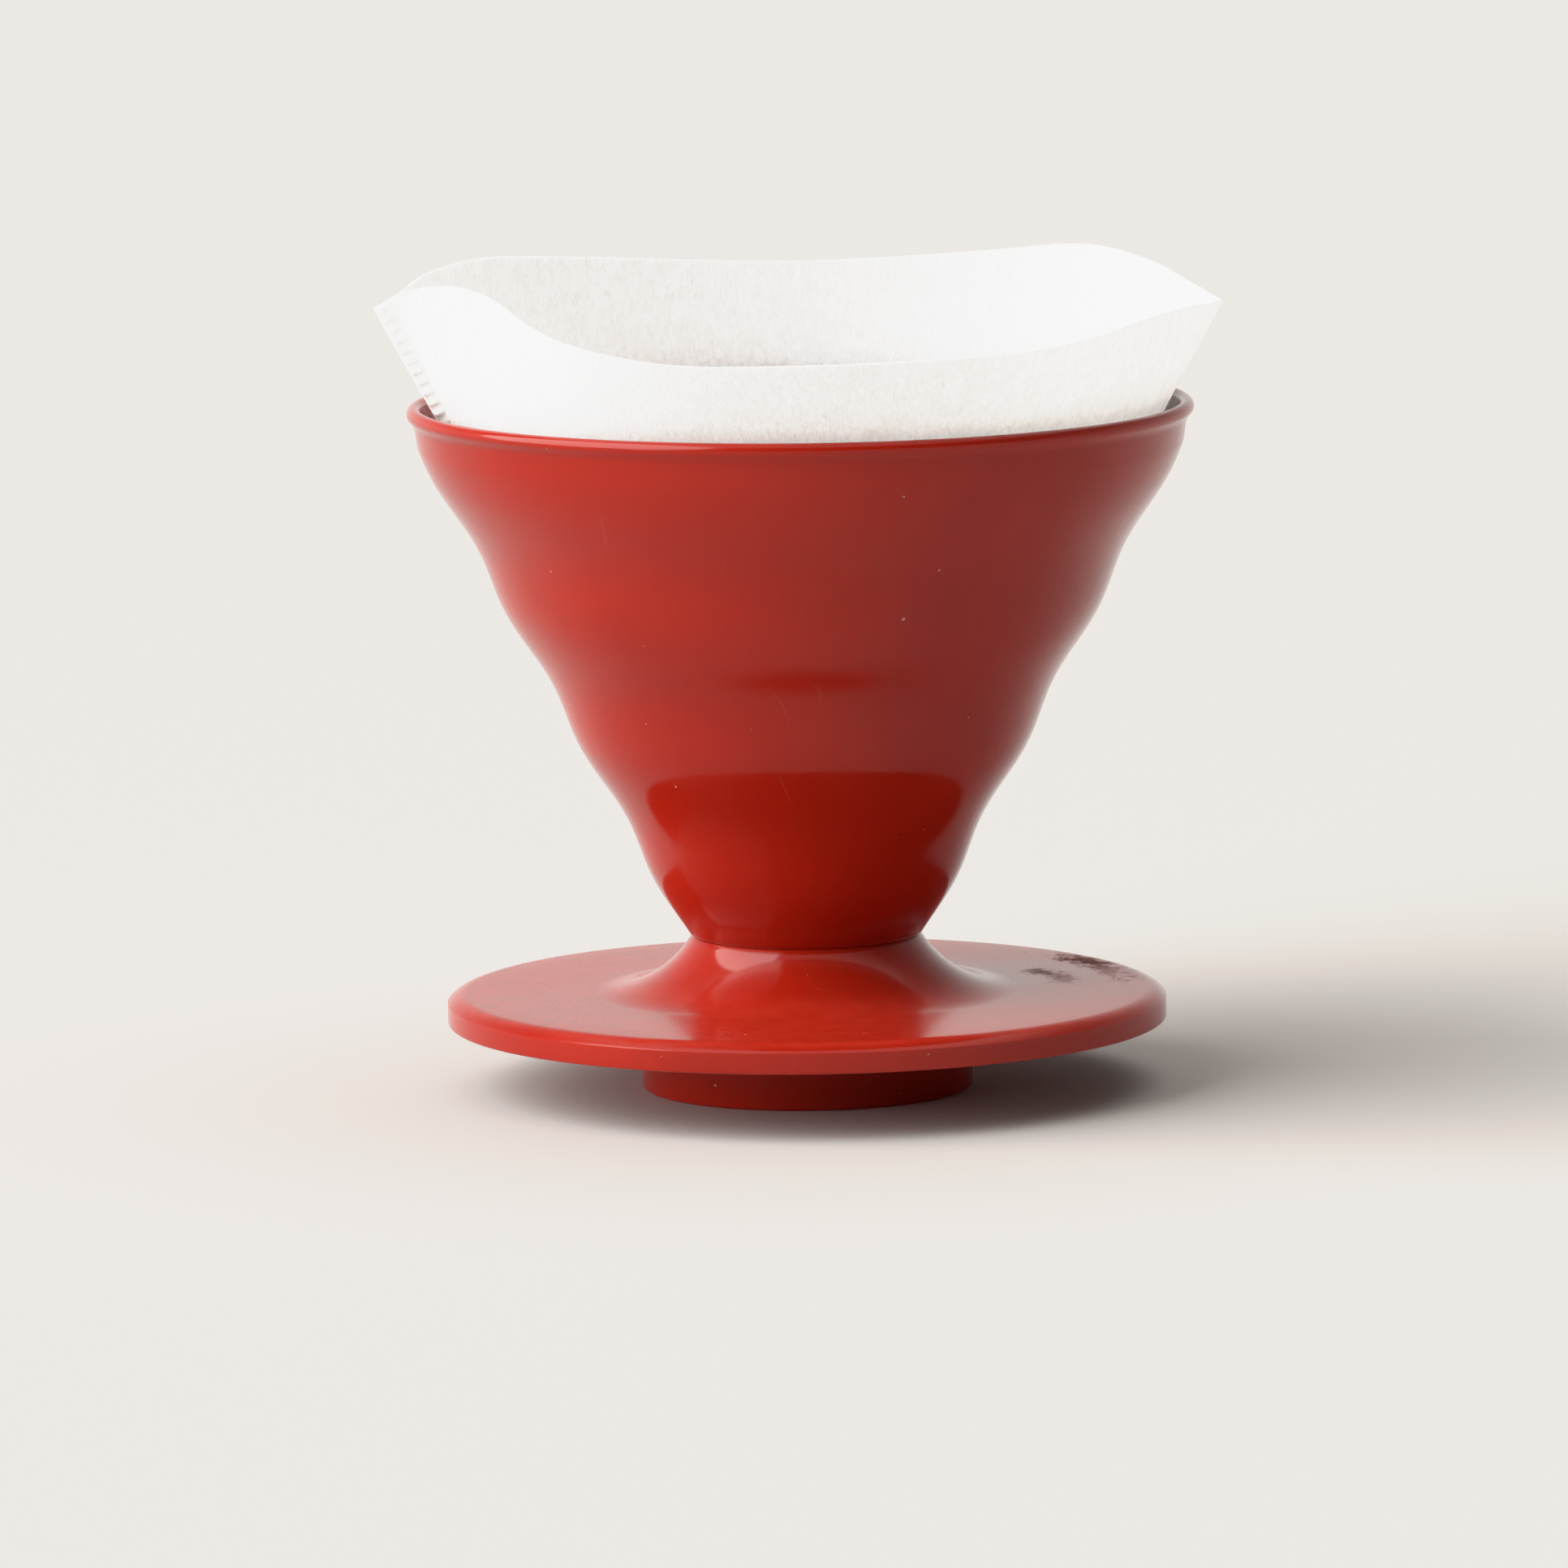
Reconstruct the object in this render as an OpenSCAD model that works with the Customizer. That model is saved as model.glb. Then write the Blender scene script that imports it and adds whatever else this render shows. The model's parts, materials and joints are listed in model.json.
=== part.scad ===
// Cone pour-over coffee dripper: a wavy cone with a handle, a saucer-like base
// that stands on a mug, and a folded paper filter. Millimetres, +Z up.
// The origin is on the axis, at the underside of the foot ring.

/* [Cone] */
// Outside diameter of the rim bead
rim_d = 116; // [80:1:150]
// Radius of the rounded bead along the rim
bead_r = 1.1; // [0.8:0.1:2]
// Wall thickness of the cone between its ribs
wall_t = 2.8; // [2:0.1:4]
// Full angle of the outer wall, a little steeper than the filter's 60 degrees
wall_angle = 56; // [54:0.5:58]
// Height of the plain land under the bead
land_h = 6; // [4:0.5:9]

/* [Waves] */
// Half of the depth of the waves in the outer wall
wave_depth = 0.56; // [0:0.02:0.9]
// Distance along the height from one wave to the next
wave_pitch = 20.2; // [12:0.1:30]
// Distance from the top of the rim to the first crest
first_crest = 10.6; // [6:0.1:14]

/* [Outlet] */
// Diameter of the single large outlet
outlet_d = 21; // [14:0.5:28]
// Radial gap between the filter and the outlet, measured at the neck
drip_gap = 1.3; // [1:0.1:2.5]
// Wall of the spigot that enters the base
spigot_t = 2.5; // [1.8:0.1:3.5]
// Length of the spigot
spigot_l = 5.5; // [4:0.5:7]

/* [Spiral ribs] */
// Number of long ribs; a short rib stands between each two of them
rib_count = 12; // [8:1:16]
// Thickness of a rib
rib_t = 1.6; // [1:0.1:2.2]
// How far a rib would stand out of the wall at the rim
rib_rim_h = 1.1; // [0.8:0.1:2]
// Distance from the top of the rim to the upper ends of the ribs
rib_top_gap = 5.5; // [4:0.5:12]
// Length of the slope that ends each rib
rib_runout = 4; // [2:0.5:8]
// Height of the short ribs
short_rib_h = 36; // [20:1:45]
// Angle between a rib's curve and the radius where it meets the rim
rib_end_angle = 24; // [15:1:35]

/* [Handle] */
// How far the handle reaches past the rim
handle_out = 21; // [16:0.5:30]
// Thickness of the handle's band
handle_t = 4.5; // [3:0.1:6]
// Width of the handle's band
handle_w = 15; // [10:0.5:20]
// Distance from the top of the rim to the top of the handle
handle_gap = 7; // [5:0.5:12]
// Height from the handle's lower bend up to its outer bend
handle_drop = 30; // [20:0.5:36]
// Inside radius of the handle's bends
handle_bend = 8; // [5:0.5:10]

/* [Base plate] */
// Height of the base, from the foot to the cone
base_h = 22.8; // [18:0.1:30]
// Diameter of the plate
plate_d = 106.5; // [85:0.5:125]
// Height of the plate's upper face above the foot
plate_top = 14.5; // [12.5:0.1:16]
// Wall thickness of the plate and its flare
plate_t = 2.4; // [1.8:0.1:3]
// Height of the plate's rim, from its lower edge to its upper face
plate_rim_h = 4.4; // [3.5:0.1:6]
// Radius of the plate's rounded shoulder
shoulder_r = 3.7; // [3:0.1:5]
// How far the shoulder reaches in from the edge
shoulder_w = 2.8; // [2:0.1:2.9]
// Radius of the hollow flare between plate and cone
flare_r = 17; // [14:0.5:24]
// Outside diameter of the foot ring, which locates in a mug
foot_d = 49; // [46:0.5:54]
// Wall of the foot ring
foot_t = 2.5; // [1.8:0.1:4]

/* [Paper filter] */
// Full angle of the filter cone
filter_angle = 60; // [60:60]
// Thickness of the paper
paper_t = 0.25; // [0.2:0.05:0.5]
// Height of the filter above the top of the rim
filter_rise = 16; // [8:1:24]

/* [Fits] */
// Radial gap between the filter and the crests of the ribs
filter_fit = 0.4; // [0.3:0.05:0.8]
// Radial gap of the glued joint between spigot and base
joint_fit = 0.05; // [0.02:0.01:0.1]

/* [Hidden] */
$fn = 96;
join = 0.8;          // how far the ribs and the handle run into the wall
wave_steps = 12;     // straight steps in one wave
lip_h = 1.2;         // height of the outlet's lip above the neck
rib_setback = 0.4;   // how far the ribs stop short of the outlet's lip
funnel_h = 4.5;      // height of the funnel's upper edge above the neck
handle_root = 12;    // how far the handle's two inner bends lie inside the wall

// The filter's cone sets the height: it clears the outlet at the neck and the ribs at the rim.
filter_slope = tan(filter_angle / 2);
outlet_r = outlet_d / 2;
rim_in_r = rim_d / 2 - 2 * bead_r;
filter_neck_r = outlet_r - drip_gap;
filter_rim_r = rim_in_r - rib_rim_h - filter_fit;
neck_z = base_h;
bead_z = neck_z + (filter_rim_r - filter_neck_r) / filter_slope;
bead_x = rim_d / 2 - bead_r;
rim_z = bead_z + bead_r;
tip_z = neck_z - filter_neck_r / filter_slope;

// The cone's wall: a straight inside, a wavy outside and a plain land under the bead.
wall_slope = tan(wall_angle / 2);
wall_radial = wall_t / cos(wall_angle / 2);
land_z = rim_z - land_h;
crest_z = rim_z - first_crest;
spigot_r = outlet_r + spigot_t;
rib_top_z = rim_z - rib_top_gap;
function wall_in(z) = rim_in_r - wall_slope * (bead_z - z);
function wall_out(z) = wall_in(z) + wall_radial + wave_depth * cos(360 * (z - crest_z) / wave_pitch);
function rib_crest(z) = (z - tip_z) * filter_slope + filter_fit;

// Points along an arc, from one angle to another.
function arc(centre, r, from, to, steps) =
    [for (i = [0 : steps]) centre + r * [cos(from + (to - from) * i / steps),
                                         sin(from + (to - from) * i / steps)]];

// The base follows the cone's neck.
neck_r = wall_out(neck_z);
plate_r = plate_d / 2;
foot_r = foot_d / 2;
flare_z = plate_top + flare_r;
flare_x = neck_r + sqrt(pow(flare_r, 2) - pow(flare_z - base_h, 2));
bore_r = spigot_r + joint_fit;

// The section of the cone, its bead, its outlet and its spigot.
module cone_section() {
    step = wave_pitch / wave_steps;
    polygon(concat(
        [[spigot_r, neck_z - spigot_l], [spigot_r, neck_z]],
        [for (z = [neck_z : step : land_z - step / 2]) [wall_out(z), z]],
        [[wall_out(land_z), land_z]],
        arc([bead_x, bead_z], bead_r, -90, 180, 15),
        [
            [wall_in(neck_z + funnel_h), neck_z + funnel_h],
            [outlet_r, neck_z + lip_h],
            [outlet_r, neck_z - spigot_l],
        ]
    ));
}

// The space that a rib may fill: from the line of the crests into the wall, sloped at its ends.
module rib_band(low, high, low_runout) {
    polygon([
        [rib_crest(low + low_runout), low + low_runout],
        [rib_crest(high - rib_runout), high - rib_runout],
        [wall_in(high) + join, high],
        [wall_in(low) + join, low],
    ]);
}

// One rib seen from above: an arc of a circle that would pass through the axis.
module rib_plan() {
    curve_r = rim_in_r / (2 * cos(rib_end_angle));
    intersection() {
        translate([curve_r, 0])
            difference() {
                circle(curve_r + rib_t / 2);
                circle(curve_r - rib_t / 2);
            }
        translate([-curve_r, 0]) square([3 * curve_r, 2 * curve_r]);
        difference() {
            circle(rim_in_r);
            circle(outlet_r + rib_setback);
        }
    }
}

module ribs(low, high, low_runout, turn) {
    intersection() {
        translate([0, 0, low])
            linear_extrude(high - low)
                for (i = [0 : rib_count - 1])
                    rotate(turn + i * 360 / rib_count) rib_plan();
        rotate_extrude() rib_band(low, high, low_runout);
    }
}

// A polygon given counter-clockwise, grown by r and rounded at its corners.
module rounded(corners, r) {
    polygon(corners);
    for (i = [0 : len(corners) - 1]) {
        a = corners[i];
        b = corners[(i + 1) % len(corners)];
        out = r * [b[1] - a[1], a[0] - b[0]] / norm(b - a);
        translate(a) circle(r);
        polygon([a, a + out, b + out, b]);
    }
}

// The handle's loop seen from the side, with the axis at x = 0.
module handle_side() {
    outer_x = rim_d / 2 + handle_out - handle_bend - handle_t;
    upper_z = rim_z - handle_gap - handle_bend - handle_t;
    lower_z = upper_z - handle_drop;
    corners = [
        [wall_out(lower_z) - handle_root, lower_z],
        [outer_x, upper_z],
        [wall_out(upper_z) - handle_root, upper_z],
    ];
    difference() {
        rounded(corners, handle_bend + handle_t);
        rounded(corners, handle_bend);
    }
}

module handle() {
    difference() {
        rotate([90, 0, 90])
            linear_extrude(handle_w, center = true) handle_side();
        rotate_extrude()
            polygon([
                [0, neck_z],
                [wall_in(neck_z) + join, neck_z],
                [rim_in_r + join, bead_z],
                [0, bead_z],
            ]);
    }
}

module cone_body() color([0.78, 0.16, 0.13]) {
    rotate_extrude() cone_section();
    ribs(neck_z + lip_h / 2, rib_top_z, 0, 0);
    ribs(rib_top_z - short_rib_h, rib_top_z, rib_runout, 180 / rib_count);
    handle();
}

// The section of the base, from its collar down the flare to the plate and the foot ring.
module base_section() {
    flare = [flare_x, flare_z];
    inside_r = flare_r + plate_t;
    foot_in = foot_r - foot_t;
    collar_r = bore_r + plate_t;
    under_z = plate_top - plate_t;
    polygon(concat(
        [[bore_r, base_h - spigot_l], [bore_r, base_h]],
        arc(flare, flare_r, 180 + asin((flare_z - base_h) / flare_r), 270, 16),
        arc([plate_r - shoulder_w, plate_top - shoulder_r], shoulder_r,
            90, acos(shoulder_w / shoulder_r), 8),
        [
            [plate_r, plate_top - plate_rim_h],
            [plate_r - plate_t, plate_top - plate_rim_h],
            [plate_r - plate_t, under_z],
            [foot_r, under_z],
            [foot_r, 0],
            [foot_in, 0],
        ],
        arc(flare, inside_r, 180 + acos((flare_x - foot_in) / inside_r),
            180 + acos((flare_x - collar_r) / inside_r), 6),
        [[collar_r, base_h - spigot_l]]
    ));
}

module base_plate() color([0.78, 0.16, 0.13]) rotate_extrude() base_section();

module paper_filter() color([0.96, 0.95, 0.92]) rotate_extrude() {
    top_z = rim_z + filter_rise;
    top_r = (top_z - tip_z) * filter_slope;
    polygon([
        [0, tip_z],
        [top_r, top_z],
        [top_r - paper_t / cos(filter_angle / 2), top_z],
        [0, tip_z + paper_t / sin(filter_angle / 2)],
    ]);
}

cone_body();
base_plate();
paper_filter();
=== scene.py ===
# %% [markdown]
# # A pour-over dripper and its paper filter
# The dripper is two mouldings of glossy red plastic. A wavy cone stands in a
# saucer-like base, and a folded paper filter sits loose in the cone. Each
# cell below makes one piece, one finish or one part of the studio.
# Everything is in metres, with the origin on the axis at the foot's lower face.

import json
from math import acos, asin, atan2, cos, degrees, hypot, pi, radians, sin, sqrt, tan

import bpy
from mathutils import Matrix, Vector

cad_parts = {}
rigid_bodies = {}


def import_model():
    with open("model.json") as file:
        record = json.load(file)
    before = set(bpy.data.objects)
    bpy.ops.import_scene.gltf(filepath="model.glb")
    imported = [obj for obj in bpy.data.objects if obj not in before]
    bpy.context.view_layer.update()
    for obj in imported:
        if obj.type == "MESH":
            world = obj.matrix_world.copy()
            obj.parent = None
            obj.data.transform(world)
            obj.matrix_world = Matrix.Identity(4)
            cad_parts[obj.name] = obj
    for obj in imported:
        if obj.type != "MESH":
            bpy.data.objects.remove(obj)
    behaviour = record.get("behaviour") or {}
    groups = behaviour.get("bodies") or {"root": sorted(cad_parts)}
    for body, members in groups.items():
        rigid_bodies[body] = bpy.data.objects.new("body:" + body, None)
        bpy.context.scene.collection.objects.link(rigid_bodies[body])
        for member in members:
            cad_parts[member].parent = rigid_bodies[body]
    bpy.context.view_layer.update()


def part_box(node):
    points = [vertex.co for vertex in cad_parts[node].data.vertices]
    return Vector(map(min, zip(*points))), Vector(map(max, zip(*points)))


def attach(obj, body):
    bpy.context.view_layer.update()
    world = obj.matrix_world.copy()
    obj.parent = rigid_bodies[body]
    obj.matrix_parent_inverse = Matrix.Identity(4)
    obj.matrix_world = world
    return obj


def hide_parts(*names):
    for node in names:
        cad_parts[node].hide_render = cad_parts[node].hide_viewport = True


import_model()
MM = 0.001

# %% [markdown]
# ## The camera
# A long lens looks at the dripper from the front, seven and a half degrees
# above the table. A long lens stands far away, so the cone's rim and base keep
# nearly the same scale. The camera is built from its distance and three small
# turns, because those are what a person changes on a tripod head.

# %% Camera
AIM = Vector((0, 0, 55)) * MM
CAMERA_FAR = 1812.9 * MM
CAMERA_RISE = radians(7.55)
HEAD_TILT, HEAD_PAN, HEAD_ROLL = radians(-0.31), radians(0.096), radians(0.68)

camera_data = bpy.data.cameras.new("camera")
camera_data.sensor_width = 36
camera_data.lens = 281.6
camera_data.clip_end = 30
camera = bpy.data.objects.new("camera", camera_data)
bpy.context.scene.collection.objects.link(camera)
bpy.context.scene.camera = camera

forward = Vector((0, cos(CAMERA_RISE), -sin(CAMERA_RISE)))
right = Vector((1, 0, 0))
up = right.cross(forward)
place = AIM - forward * CAMERA_FAR
for turn, axis_name in ((HEAD_TILT, "right"), (HEAD_PAN, "up"), (HEAD_ROLL, "forward")):
    axis = {"right": right, "up": up, "forward": forward}[axis_name].copy()
    spin_about = Matrix.Rotation(turn, 3, axis)
    forward, right, up = spin_about @ forward, spin_about @ right, spin_about @ up
camera.matrix_world = Matrix((
    (right.x, up.x, -forward.x, place.x),
    (right.y, up.y, -forward.y, place.y),
    (right.z, up.z, -forward.z, place.z),
    (0, 0, 0, 1),
))
print("camera at", [round(x, 3) for x in place])

# %% [markdown]
# ## The studio
# A very soft sun stands low on the left, so the left of the cone is bright red
# and the shadow falls to the right. A small window lamp above the left edge
# lights the paper. The world is pale behind the dripper, dim behind the camera
# and bright straight overhead: gloss shows what is around it, and a dim front
# keeps the red deep. A tone curve eases bright light off below pure white, so
# that the paper keeps its shading. The floor is plain and pale, and it runs so
# far back that it fills the picture.

# %% Floor, world and lamps
TONE_STATIONS = ((0, 0), (0.30, 0.60), (0.45, 0.85), (0.65, 0.915), (1.0, 0.945))     # light, shown
view = bpy.context.scene.view_settings
view.view_transform = "Standard"
view.use_curve_mapping = True
view.curve_mapping.white_level = (2, 2, 2)
shoulder = view.curve_mapping.curves[3]
shoulder.points[0].location, shoulder.points[-1].location = TONE_STATIONS[0], TONE_STATIONS[-1]
for station in TONE_STATIONS[1:-1]:
    shoulder.points.new(*station)
for point in shoulder.points:
    point.handle_type = "AUTO_CLAMPED"
view.curve_mapping.update()

bpy.ops.mesh.primitive_plane_add(size=24, location=(0, 0, 0))
floor_sheet = bpy.context.object
floor_sheet.name = "studio_floor"


def new_material(name):
    """A new material and its shader."""
    material = bpy.data.materials.new(name)
    material.use_nodes = True
    return material, material.node_tree.nodes["Principled BSDF"]


def add(tree, kind, links=None, **settings):
    """A node with its settings. links maps an input's name or number to a value or another node's output."""
    node = tree.nodes.new(kind)
    for key, value in settings.items():
        setattr(node, key, value)
    for key, value in (links or {}).items():
        if isinstance(value, bpy.types.NodeSocket):
            tree.links.new(value, node.inputs[key])
        else:
            node.inputs[key].default_value = value
    return node


floor_paint, floor_shader = new_material("pale_floor")
floor_shader.inputs["Base Color"].default_value = (0.53, 0.508, 0.492, 1)
floor_shader.inputs["Roughness"].default_value = 0.9
floor_shader.inputs["Specular IOR Level"].default_value = 0.1
floor_sheet.data.materials.append(floor_paint)


def share_along(tree, value, low, high, to_low, to_high):
    """Maps a value in a straight line from one range to another, and keeps it there beyond the ends."""
    return add(tree, "ShaderNodeMapRange", {0: value, 1: low, 2: high, 3: to_low, 4: to_high}).outputs[0]


def math(tree, operation, a, b=0.0):
    """A sum, product or other operation on two values or sockets."""
    return add(tree, "ShaderNodeMath", {0: a, 1: b}, operation=operation).outputs[0]


world = bpy.data.worlds.new("studio")
bpy.context.scene.world = world
world.use_nodes = True
sky = world.node_tree
sky_out = sky.nodes["Background"]
direction = add(sky, "ShaderNodeTexCoord").outputs["Generated"]
parts = add(sky, "ShaderNodeSeparateXYZ", {0: direction})
back_share = share_along(sky, parts.outputs["Y"], -0.5, 0.35, 0.06, 0.92)
side_share = share_along(sky, parts.outputs["X"], -0.9, 0.9, 1.2, 0.8)
high_share = share_along(sky, parts.outputs["Z"], 0.08, 0.6, 1.0, 0.34)
overhead = share_along(sky, parts.outputs["Z"], 0.7, 0.9, 0.0, 1.2)
glow = math(sky, "MULTIPLY", math(sky, "MULTIPLY", back_share, side_share), high_share)
glow = math(sky, "ADD", glow, overhead)
tint = add(sky, "ShaderNodeCombineColor", {0: 1.0, 1: 0.975, 2: 0.93}).outputs[0]
sky.links.new(tint, sky_out.inputs["Color"])
sky.links.new(glow, sky_out.inputs["Strength"])


def aimed(name, data, place, aim):
    """A lamp at a place, turned to a point, that the camera can't see."""
    lamp = bpy.data.objects.new(name, data)
    bpy.context.scene.collection.objects.link(lamp)
    turn = (Vector(place) - Vector(aim)).to_track_quat("Z", "Y").to_matrix().to_4x4()
    lamp.matrix_world = Matrix.Translation(place) @ turn
    lamp.visible_camera = False
    return lamp


key = bpy.data.lights.new("key", "SUN")
key.angle, key.energy, key.color = radians(74), 6.7, (1, 0.98, 0.955)
aimed("key", key, (-2.65, -0.90, 1.45), (0, 0, 0))
window = bpy.data.lights.new("window", "AREA")
window.shape, window.size, window.size_y, window.energy = "RECTANGLE", 0.55, 0.46, 0.5
aimed("window", window, (-0.47, -0.22, 1.5), (0, 0, 0.02))
print("lamps:", [lamp.name for lamp in bpy.data.lights])

# %% [markdown]
# ## Sizes that the pieces share
# The cone's wall is a straight cone inside. Outside it swells and narrows in
# soft waves, which stiffen the thin wall and give a grip. The overall sizes are
# read from the frame, and the others are repeated from the CAD model's names.

# %% Shared sizes
cone_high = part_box("cone_body")[1] / MM
base_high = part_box("base_plate")[1] / MM
paper_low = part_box("paper_filter")[0] / MM

RIM_R = cone_high.x                 # outer radius of the bead
RIM_Z = cone_high.z
NECK_Z = base_high.z                # where the cone sits on the base
PLATE_R = base_high.x
TIP_Z = paper_low.z                 # the filter's point
BEAD_R = 1.1
WALL = 2.8                          # thickness, measured across the wall
HALF_ANGLE = radians(28)            # the wall's lean from upright
SLOPE = tan(HALF_ANGLE)
PAPER_HALF_ANGLE = radians(30)      # the filter's lean from upright
PAPER_SLOPE = tan(PAPER_HALF_ANGLE)
RIB_CLEAR = 0.4                     # gap from the filter to the ribs' crests
WAVE, PITCH, FIRST_CREST = 0.56, 20.2, 10.6
LAND = 6                            # plain band under the bead
OUTLET_R, SPIGOT_R, SPIGOT_L = 10.5, 13.0, 5.5

BEAD_X, BEAD_Z = RIM_R - BEAD_R, RIM_Z - BEAD_R
INNER_RIM_R = RIM_R - 2 * BEAD_R


def wall_in(z):
    """Inner radius of the cone at a height."""
    return INNER_RIM_R - SLOPE * (BEAD_Z - z)


def wall_out(z):
    """Outer radius of the cone at a height, waves included."""
    wave = WAVE * cos(2 * pi * (z - RIM_Z + FIRST_CREST) / PITCH)
    return wall_in(z) + WALL / cos(HALF_ANGLE) + wave


def rib_crest(z):
    """Radius of the ribs' crests: a line just outside the filter."""
    return (z - TIP_Z) * PAPER_SLOPE + RIB_CLEAR


print(f"rim {2 * RIM_R:.1f} mm across, top at {RIM_Z:.1f} mm, neck at {NECK_Z:.1f} mm")

# %% [markdown]
# ## Drawing and turning a section
# A round moulding is the trace of one section about the axis, as on a lathe.
# The section is drawn as by hand: a plane is merged to a single vertex, which
# is extruded from point to point, and the closed line is then spun round. This
# gives even rings, which gloss needs, and a solid wall with nothing open.

# %% Helpers for drawing, rounding and turning
MERGE_WITHIN = 0.002 * MM           # points closer than this are one
ROUND_STEPS = 240                   # straight steps in a full turn


def only(thing):
    """Deselects everything else, because an operator acts on all that is selected."""
    bpy.ops.object.select_all(action="DESELECT")
    thing.select_set(True)
    bpy.context.view_layer.objects.active = thing


def arc(centre, r, start, end, steps):
    """Points along an arc, with angles in degrees."""
    return [(centre[0] + r * cos(radians(start + (end - start) * i / steps)),
             centre[1] + r * sin(radians(start + (end - start) * i / steps))) for i in range(steps + 1)]


def rounded(corners, steps=4):
    """A closed outline. A corner given as (x, z, r) gets a fillet of radius r; one given as (x, z) stays."""
    outline = []
    for i, corner in enumerate(corners):
        here = Vector(corner[:2])
        r = corner[2] if len(corner) > 2 else 0
        if r == 0:
            outline.append(tuple(here))
            continue
        a = (Vector(corners[i - 1][:2]) - here).normalized()
        b = (Vector(corners[(i + 1) % len(corners)][:2]) - here).normalized()
        half = a.angle(b) / 2
        centre = here + (a + b).normalized() * r / sin(half)
        first, last = here + a * r / tan(half) - centre, here + b * r / tan(half) - centre
        sweep = first.angle_signed(last)
        for k in range(steps + 1):
            turn = -sweep * k / steps
            outline.append((centre.x + first.x * cos(turn) - first.y * sin(turn),
                            centre.y + first.x * sin(turn) + first.y * cos(turn)))
    return outline


def draw_line(name, points):
    """A line of edges through the points, extruded from one vertex to the next, and left in edit mode."""
    points = [Vector(p) * MM for p in points]
    bpy.ops.object.select_all(action="DESELECT")
    bpy.ops.mesh.primitive_plane_add(size=MM, location=points[0])
    line = bpy.context.object
    line.name = name
    bpy.ops.object.transform_apply(location=True, rotation=True, scale=True)
    bpy.ops.object.mode_set(mode="EDIT")
    bpy.ops.mesh.merge(type="CENTER")
    for here, there in zip(points, points[1:]):
        bpy.ops.mesh.extrude_vertices_move(TRANSFORM_OT_translate={"value": there - here})
    return line


def face_outwards(piece):
    """Turns all faces of a mesh the same way, outwards."""
    bpy.context.view_layer.objects.active = piece
    bpy.ops.object.mode_set(mode="EDIT")
    bpy.ops.mesh.select_all(action="SELECT")
    bpy.ops.mesh.normals_make_consistent(inside=False)
    bpy.ops.object.mode_set(mode="OBJECT")


def turn_section(name, outline):
    """Spins a closed outline of (radius, height) once about the axis."""
    ring = draw_line(name, [(x, 0, z) for x, z in outline + outline[:1]])
    bpy.ops.mesh.select_all(action="SELECT")
    bpy.ops.mesh.remove_doubles(threshold=MERGE_WITHIN)
    bpy.ops.mesh.spin(steps=ROUND_STEPS, angle=2 * pi, center=(0, 0, 0), axis=(0, 0, 1))
    bpy.ops.mesh.select_all(action="SELECT")
    bpy.ops.mesh.remove_doubles(threshold=MERGE_WITHIN)
    bpy.ops.mesh.normals_make_consistent(inside=False)
    bpy.ops.object.mode_set(mode="OBJECT")
    bpy.ops.object.shade_smooth_by_angle(angle=radians(35))
    print(f"{name}: {len(ring.data.polygons)} faces")
    return ring


# %% [markdown]
# ## The cone
# The cone is one moulding. Its bead is a full round, so that the rim is smooth
# to hold. The wall runs down in soft waves to the neck, and a short spigot
# goes on into the base, where the two mouldings are glued.

# %% The cone's wall
EASE = 0.4                          # rounding at the spigot's end and above the crease
WAVE_STEPS = 76
wave_low, wave_high = NECK_Z + EASE, RIM_Z - LAND
wave_heights = [wave_low + i * (wave_high - wave_low) / WAVE_STEPS for i in range(WAVE_STEPS + 1)]
cone_outline = (
    [(SPIGOT_R, NECK_Z - SPIGOT_L + EASE), (SPIGOT_R, NECK_Z), (wall_out(NECK_Z) - 0.22, NECK_Z),
     (wall_out(NECK_Z) - 0.06, NECK_Z + 0.1)]
    + [(wall_out(z), z) for z in wave_heights]
    + [(BEAD_X - 0.05, BEAD_Z - 2.1), (BEAD_X + 0.12, BEAD_Z - 1.62), (BEAD_X + 0.36, BEAD_Z - 1.24)]
    + arc((BEAD_X, BEAD_Z), BEAD_R, -48, 175, 20)
    + rounded([(wall_in(BEAD_Z - 1.6), BEAD_Z - 1.6), (wall_in(NECK_Z + 4.5), NECK_Z + 4.5, 2.5),
               (OUTLET_R, NECK_Z + 1.2, 0.5), (OUTLET_R, NECK_Z - SPIGOT_L, EASE),
               (SPIGOT_R - EASE, NECK_Z - SPIGOT_L)])
)
cone_wall = turn_section("cone_wall", cone_outline)

# %% [markdown]
# ## The ribs
# Spiral ribs hold the paper off the wall, so that air can leave and coffee can
# run down. Long ribs run from the outlet to the rim with a short rib between
# each two. A rib's two edge lines are drawn, bridged to a ribbon, and the
# ribbon is thickened. One rib of each length is made, and the rest are copies.

# %% The ribs
RIBS, RIB_T = 12, 1.6
RIB_STEP = 1.25                     # height from one point of a rib to the next
RIB_RUNOUT = 4                      # height over which a rib's end slopes into the wall
RIB_SUNK, RIB_END = 0.9, 0.6        # how far inside the wall a rib's foot and the ends of its crest lie
SHORT_RIB = 36
RIB_TURN = INNER_RIM_R / cos(radians(24))   # twice the radius of the rib's curve, seen from above


def rib_angle(z):
    """Where the rib stands at a height, as an angle round the axis."""
    return acos(min(1, wall_in(z) / RIB_TURN))


def eased(share):
    """A share from 0 to 1 that starts and ends gently."""
    return share * share * (3 - 2 * share)


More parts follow.
